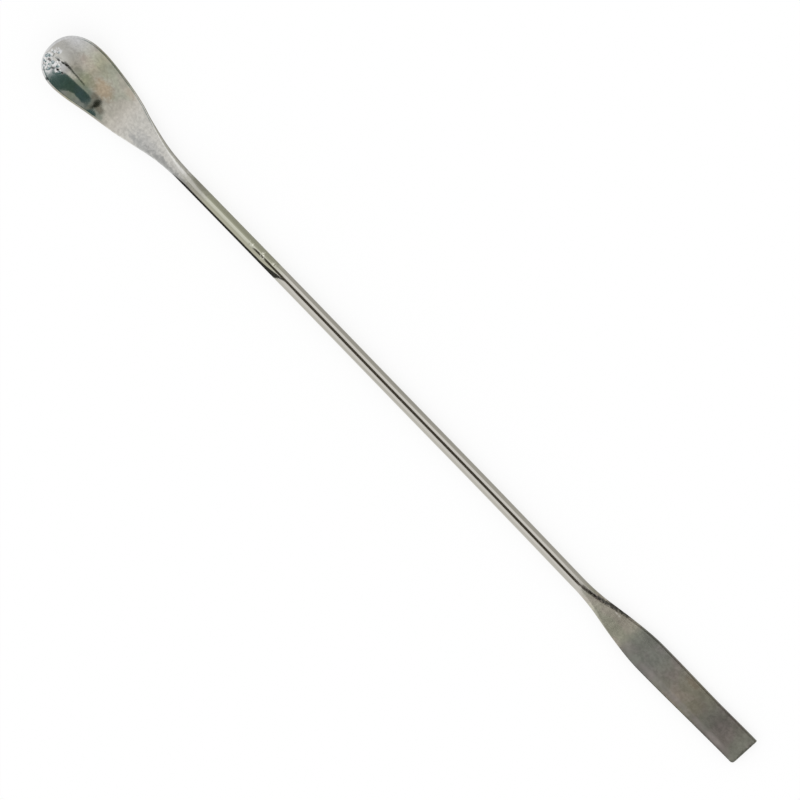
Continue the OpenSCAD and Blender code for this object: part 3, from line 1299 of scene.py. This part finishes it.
        tint = nodes.blend(stains["Tint"], (*self.green, 1), (*self.brown, 1))
        blotch = nodes.step(stains["Blotch"], *self.blotch_tint, "LINEAR")
        blotch = nodes.blend(1.0, tint, blotch, "MULTIPLY")
        shade = nodes.step(streaks["Shade"], *self.streak_tint, "LINEAR")
        mottle = nodes.step(stains["Mottle"], *self.mottle_tint, "LINEAR")
        colour = self.ramp(nodes, along, self.tones)
        # patches of stains and of painted reflections, highlights and shade, laid on the upper side only
        stains_and_painted_light = self.stains_and_painted_light(nodes, colour, along, split.outputs[1], stains["Mottle"])
        colour = nodes.blend(nodes.mask("upper"), colour, stains_and_painted_light)
        for where, factor in (
            (drawn, shade),
            (nodes.math("ADD", in_bowl, on_flats), blotch),
            (forged, mottle),
            # painted shade darkens the sides
            (flank_shade, (*self.flank_shade, 1)),
            # painted highlight brightens the neck's corners
            (nodes.mask("painted_edge_highlight"), (*self.painted_edge_highlight, 1)),
        ):
            colour = nodes.blend(where, colour, factor, "MULTIPLY")

        uneven = nodes.step(streaks["Shade"], *self.streak_dull, "LINEAR")
        roughness = nodes.math("MULTIPLY", self.ramp(nodes, along, self.finish), uneven)
        hammered = nodes.math("MULTIPLY", forged, nodes.step(along, *self.peel_rise))
        height = nodes.math("ADD", nodes.math("MULTIPLY", streaks["Height"], nodes.step(along, *self.streak_rise)),
                            nodes.math("MULTIPLY", peel["Height"], hammered))
        bump = nodes.add("Bump", {"Strength": 1.0, "Distance": self.relief, "Height": height}).outputs[0]
        nodes.surface(nodes.add("BsdfPrincipled", {
            "Base Color": colour, "Metallic": 1.0, "Roughness": roughness, "Normal": bump,
        }))
        return material


# ---- studio ----


@dataclass(frozen=True)
class Card:
    """A sheet that only reflections see.

    It bends round the rod's axis, and lies on the table where it would otherwise pass below it.

    Attributes:
        name: The piece's name.
        distance: Its distance from the rod's axis, in metres.
        colours: Its colour, or its colours at its first long edge and at its second.
        soft_x: Share of its length over which each end fades.
        soft_turn: Share of its width over which its first and its second long edge fade.
        edges: Stations along it: the place on the spatula that reflects it, in millimetres from the tip of the
            bowl, and its two long edges, in degrees from straight up towards +Y.
    """

    GRID = (110, 48)  # faces along it and across it

    name: str
    distance: float
    colours: tuple[Tone, ...]
    soft_x: tuple[float, float]
    soft_turn: tuple[float, float]
    edges: tuple[tuple[float, float, float], ...]

    def spot(self, u: float, v: float) -> tuple[float, float, float]:
        """Where a point of the card is.

        Args:
            u: Share of its length.
            v: Share of its width.

        Returns:
            The point, in metres.
        """
        places, first, second = zip(*self.edges)
        at = mix(places[0], places[-1], u)
        angle = math.radians(mix(float(np.interp(at, places, first)), float(np.interp(at, places, second)), v))
        far = self.distance
        if AXIS_HEIGHT + far * math.cos(angle) < ON_TABLE:
            far = (AXIS_HEIGHT - ON_TABLE) / -math.cos(angle)
        x = (at - TIP_SHIFT) * MM * (1 + far / Studio.DISTANCE)
        return x, far * math.sin(angle), AXIS_HEIGHT + far * math.cos(angle)

    def build(self) -> bpy.types.Object:
        """Makes the card.

        Returns:
            The card, hidden from all but glossy rays.
        """
        bm = bmesh.new()
        bmesh.ops.create_grid(bm, x_segments=self.GRID[0], y_segments=self.GRID[1], size=1.0)
        uv = bm.loops.layers.uv.new("card")
        for face in bm.faces:
            for loop in face.loops:
                loop[uv].uv = ((loop.vert.co.x + 1) / 2, (loop.vert.co.y + 1) / 2)
        for vert in bm.verts:
            vert.co = self.spot((vert.co.x + 1) / 2, (vert.co.y + 1) / 2)
        obj = new_object(bm, self.name)
        obj.data.materials.append(self.material())
        obj.visible_camera = False
        obj.visible_diffuse = False
        obj.visible_shadow = False
        obj.visible_transmission = False
        return obj

    def material(self) -> bpy.types.Material:
        """A plain colour that fades out at the card's edges.

        Returns:
            The material.
        """
        material, nodes = new_material(self.name)
        split = nodes.add("SeparateXYZ", {0: nodes.add("UVMap", uv_map="card").outputs[0]})
        fade = 1.0
        for output, soft in ((split.outputs[0], self.soft_x), (split.outputs[1], self.soft_turn)):
            for value, width in ((output, soft[0]), (nodes.math("SUBTRACT", 1.0, output), soft[1])):
                if width > 0:
                    fade = nodes.math("MULTIPLY", fade, nodes.step(value, 0.0, width))
        colour = nodes.blend(split.outputs[1], (*self.colours[0], 1), (*self.colours[-1], 1))
        glow = nodes.add("Emission", {"Color": colour, "Strength": 1.0})
        clear = nodes.add("BsdfTransparent")
        nodes.surface(nodes.add("MixShader", {0: fade, 1: clear.outputs[0], 2: glow.outputs[0]}))
        return material


class Studio:
    """The white table, the plain light round it, the cards that the steel reflects, and the camera."""

    DISTANCE = 0.9  # from the camera to where it aims
    LEAN = 17.0  # of the camera from straight above towards +Y, in degrees
    ROLL = 45.8147  # of the picture against the spatula, in degrees
    FRAME_WIDTH = 0.1819  # width of the picture at that distance
    SENSOR = 36.0
    CLIP = (0.01, 20.0)
    AIM_X = 0.0004
    AIM_ASIDE = 0.00033  # up the picture's slope, away from the rod's axis
    TABLE_HALF = 3.0
    TABLE_GLOW = 0.8  # share of the table's own white, where the camera or a reflection sees it

    def cards(self) -> list[Card]:
        """The cards that the steel reflects.

        Returns:
            The cards.
        """
        return [
            # the dark line along the rod and the shoulder
            Card("card_over_rod", 0.03, ((0.075, 0.065, 0.05),), (0.02, 0.0), (0.08, 0.08), (
                (78, -13, 33), (171.7, -13, 33),
            )),
            Card("card_line_gap", 0.029, ((0.25, 0.23, 0.22),), (0.1, 0.3), (0.15, 0.15), (
                (171.7, -9, 40), (173.0, -4, 50), (174.4, 10, 60),
            )),
            Card("card_over_shoulder", 0.1, ((0.06, 0.052, 0.045),), (0.0, 0.12), (0.05, 0.08), (
                (173, 0, 45), (174, 16, 60), (175.5, 14, 70), (177, 8, 80), (178.5, -2, 95), (180, -8, 112),
                (184, -11, 112), (190, -11, 75),
            )),
            Card("card_over_edge", 0.101, ((0.3, 0.28, 0.26),), (0.0, 0.0), (0.05, 0.08), (
                (187, -11, 75), (260, -9, 75),
            )),
            # the rod next to the neck
            Card("card_line_start", 0.012, ((0.075, 0.065, 0.05),), (0.0, 0.0), (0.1, 0.1), (
                (65.1, -6, 12), (65.8, -6, 27), (67.2, -6, 27), (67.9, -6, 2),
            )),
            Card("card_line", 0.0121, ((0.075, 0.065, 0.05),), (0.0, 0.1), (0.08, 0.08), (
                (68.2, 26, 30), (68.8, -7, 30), (92, -8, 31),
            )),
            Card("card_wedge", 0.008, ((0.045, 0.045, 0.042),), (0.05, 0.0), (0.0, 0.04), (
                (39.5, -85, -80), (43.5, -135, -62), (66, -135, -58), (68, -135, -55), (70, -135, -44),
                (71.5, -135, -29), (72.8, -135, -13), (73.3, -85, -10), (74, -37, -7), (75.4, -5, 0),
            )),
            # the light and dark sides of the whole spatula
            Card("card_rod_front", 0.05, ((0.72, 0.7, 0.66), (0.74, 0.73, 0.68)), (0.25, 0.05), (0.0, 0.14), (
                (33, -75, -1), (70, -75, -1), (74, -70, -8),
            )),
            Card("card_rod_front_far", 0.06, ((0.84, 0.84, 0.82),), (0.02, 0.02), (0.0, 0.15), (
                (72, -130, -48), (172, -130, -48),
            )),
            Card("card_rod_back", 0.1, ((0.58, 0.58, 0.52), (0.33, 0.33, 0.28)), (0.1, 0.05), (0.22, 0.0), (
                (42, 30, 142), (73, 30, 142),
            )),
            Card("card_low_back", 0.12, ((0.58, 0.57, 0.54), (0.5, 0.5, 0.47)), (0.03, 0.02), (0.14, 0.0), (
                (19, 66, 170), (240, 66, 170),
            )),
            Card("card_low_bowl", 0.121, ((0.76, 0.76, 0.74), (0.72, 0.72, 0.7)), (0.15, 0.0), (0.14, 0.0), (
                (4, 88, 168), (10, 66, 170), (26, 66, 170),
            )),
            Card("card_over_neck", 0.012, ((1.0, 1.0, 1.0),), (0.1, 0.1), (0.0, 0.0), ((28, 5, 50), (47, 5, 50))),
            Card("card_low_shoulder", 0.02, ((0.05, 0.045, 0.04),), (0.2, 0.3), (0.1, 0.0), (
                (177, 115, 150), (187, 115, 150),
            )),
            Card("card_over_blade", 0.11, ((0.5, 0.5, 0.475),), (0.06, 0.02), (0.25, 0.0), (
                (185, -40, -9), (250, -40, -9),
            )),
            Card("card_blade_front", 0.06, ((0.24, 0.24, 0.225),), (0.1, 0.0), (0.0, 0.05), (
                (186, -150, -48), (240, -150, -48),
            )),
            Card("card_tip", 0.12, ((0.7, 0.7, 0.7),), (0.25, 0.05), (0.25, 0.2), ((86, -10, 31), (112, -10, 31))),
            # the bowl
            Card("card_green", 0.028, ((0.09, 0.165, 0.16), (0.085, 0.155, 0.145)), (0.0, 0.0), (0.04, 0.04), (
                (20, 7.9, 23.2), (21, 7.8, 23.4), (22.6, 7.6, 25.5), (23.4, 7.3, 28), (24.1, 6.9, 33),
                (25.5, 6.3, 34), (26.4, 5.8, 30), (27, 5.6, 23), (27.6, 6.1, 16.5), (27.9, 7.1, 9),
            )),
            Card("card_green_tip", 0.0485, ((0.09, 0.165, 0.155), (0.085, 0.155, 0.145)), (0.0, 0.0), (0.04, 0.04), (
                (36, 12, 42), (38.5, 11, 42), (40, 10.5, 41), (41, 9.8, 41), (41.8, 10, 38), (42.4, 10.5, 36),
                (43.1, 11.5, 32), (43.7, 13, 29), (44.1, 15, 26.5), (44.5, 17.5, 24), (44.8, 19, 22),
            )),
            Card("card_blue", 0.048, ((0.1, 0.18, 0.18), (0.09, 0.17, 0.2)), (0.0, 0.0), (0.04, 0.04), (
                (14.9, 8.8, 11), (15.6, 8.8, 14), (17, 9, 19), (18.8, 9.3, 24), (20.5, 9.8, 27), (24, 10, 28),
                (27, 10, 27.2),
            )),
            Card("card_green_rim", 0.0275, ((0.13, 0.15, 0.13),), (0.35, 0.03), (0.25, 0.25), (
                (19.3, 0, 4.6), (20.9, -1.4, 3), (22.5, -3.4, 1), (23.9, -4.2, 0.2), (25.1, -5.2, -0.8),
                (26.1, -6.6, -2.4), (26.9, -7.6, -3.4), (27.4, -9.4, -5.2), (27.7, -11, -7),
            )),
            Card("card_bowl_shade", 0.0273, ((0.42, 0.41, 0.38),), (0.2, 0.3), (0.3, 0.2), (
                (11.9, -9, -1), (12.6, -8, 2), (13.2, -7, 4), (14, -6, 6), (14.8, -4, 9), (15.6, -3, 9),
            )),
            Card("card_bowl_low", 0.055, ((0.6, 0.68, 0.66), (0.48, 0.53, 0.58)), (0.1, 0.15), (0.15, 0.05), (
                (5, -7, 0), (7, -6, 20), (9, -5, 46), (12, -5, 46), (17, -4, 46), (22, -3, 46), (30, -3, 46),
                (38, -3, 46), (43, 4, 46),
            )),
            Card("card_bowl_end", 0.008, ((0.5, 0.5, 0.49), (0.4, 0.42, 0.41)), (0.05, 0.25), (0.35, 0.1), (
                (14.6, -13, -11), (15.2, -16, -9), (15.8, -16.5, -7), (16.3, -16, -7), (16.6, -13.5, -9),
            )),
            Card("card_bowl_line", 0.047, ((0.03, 0.03, 0.025),), (0.1, 0.05), (0.2, 0.2), (
                (38.6, -4.5, -1.5), (40.7, -7.5, -3.5), (42.4, -10, -5), (43.6, -11.5, -6), (44.5, -13, -7),
                (45.1, -12, -8),
            )),
            Card("card_bowl_spot", 0.0078, ((0.02, 0.025, 0.015),), (0.1, 0.3), (0.2, 0.2), (
                (14.8, -15.5, -12.5), (15.2, -17.5, -11.6), (15.5, -18, -11.4), (15.8, -18, -11.6),
                (16.4, -17, -12.5),
            )),
        ]

    def light(self) -> None:
        """Lights everything with a plain white world."""
        world = bpy.data.worlds.new("studio")
        bpy.context.scene.world = world
        world.use_nodes = True
        back = world.node_tree.nodes["Background"]
        back.inputs["Color"].default_value = (1, 1, 1, 1)
        back.inputs["Strength"].default_value = 1.0

    def floor(self) -> bpy.types.Object:
        """A wide white table under the spatula.

        Returns:
            The table.
        """
        bm = bmesh.new()
        bmesh.ops.create_grid(bm, x_segments=1, y_segments=1, size=self.TABLE_HALF)
        obj = new_object(bm, "table")
        material, nodes = new_material("table_white")
        path = nodes.add("LightPath")
        seen = nodes.math("ADD", path.outputs["Is Camera Ray"], path.outputs["Is Glossy Ray"], clamp=True)
        seen = nodes.math("ADD", seen, path.outputs["Is Transmission Ray"], clamp=True)
        glow = nodes.add("Emission", {"Color": (1, 1, 1, 1), "Strength": 1.0})
        paint = nodes.add("BsdfDiffuse", {"Color": (1.0, 1.0, 1.0, 1)})
        white = nodes.math("MULTIPLY", seen, self.TABLE_GLOW)
        nodes.surface(nodes.add("MixShader", {0: white, 1: paint.outputs[0], 2: glow.outputs[0]}))
        obj.data.materials.append(material)
        return obj

    def camera(self) -> None:
        """Sets the camera over the table, turned so that the spatula runs corner to corner."""
        data = bpy.data.cameras.new("camera")
        data.sensor_width = self.SENSOR
        data.lens = self.SENSOR * self.DISTANCE / self.FRAME_WIDTH
        data.clip_start, data.clip_end = self.CLIP
        obj = bpy.data.objects.new("camera", data)
        bpy.context.collection.objects.link(obj)
        lean, roll = math.radians(self.LEAN), math.radians(self.ROLL)
        back = Vector((0, math.sin(lean), math.cos(lean)))
        right = Vector((math.cos(roll), math.sin(roll) * math.cos(lean), -math.sin(roll) * math.sin(lean)))
        up = back.cross(right)
        across = -self.AIM_ASIDE * math.cos(lean)
        aim = Vector((self.AIM_X, across, AXIS_HEIGHT + self.AIM_ASIDE * math.sin(lean)))
        place = aim + back * self.DISTANCE
        turn = Matrix((right, up, back)).transposed().to_4x4()
        obj.matrix_world = Matrix.Translation(place) @ turn
        bpy.context.scene.camera = obj

    def build(self) -> None:
        """Builds the whole studio."""
        self.light()
        self.camera()
        self.floor()
        for card in self.cards():
            card.build()
            log.info("card %s", card.name)


def main() -> None:
    """Builds the studio and the spatula."""
    logging.basicConfig(level=logging.INFO, format="%(name)s: %(message)s")
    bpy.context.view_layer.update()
    bpy.context.scene.view_settings.view_transform = "Standard"
    Studio().build()
    spatula = Spatula().build()
    spatula.data.materials.append(ForgedSteel().build(Effects()))
    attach(spatula, BODY)
    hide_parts(NODE)


if __name__ == "__main__":
    main()
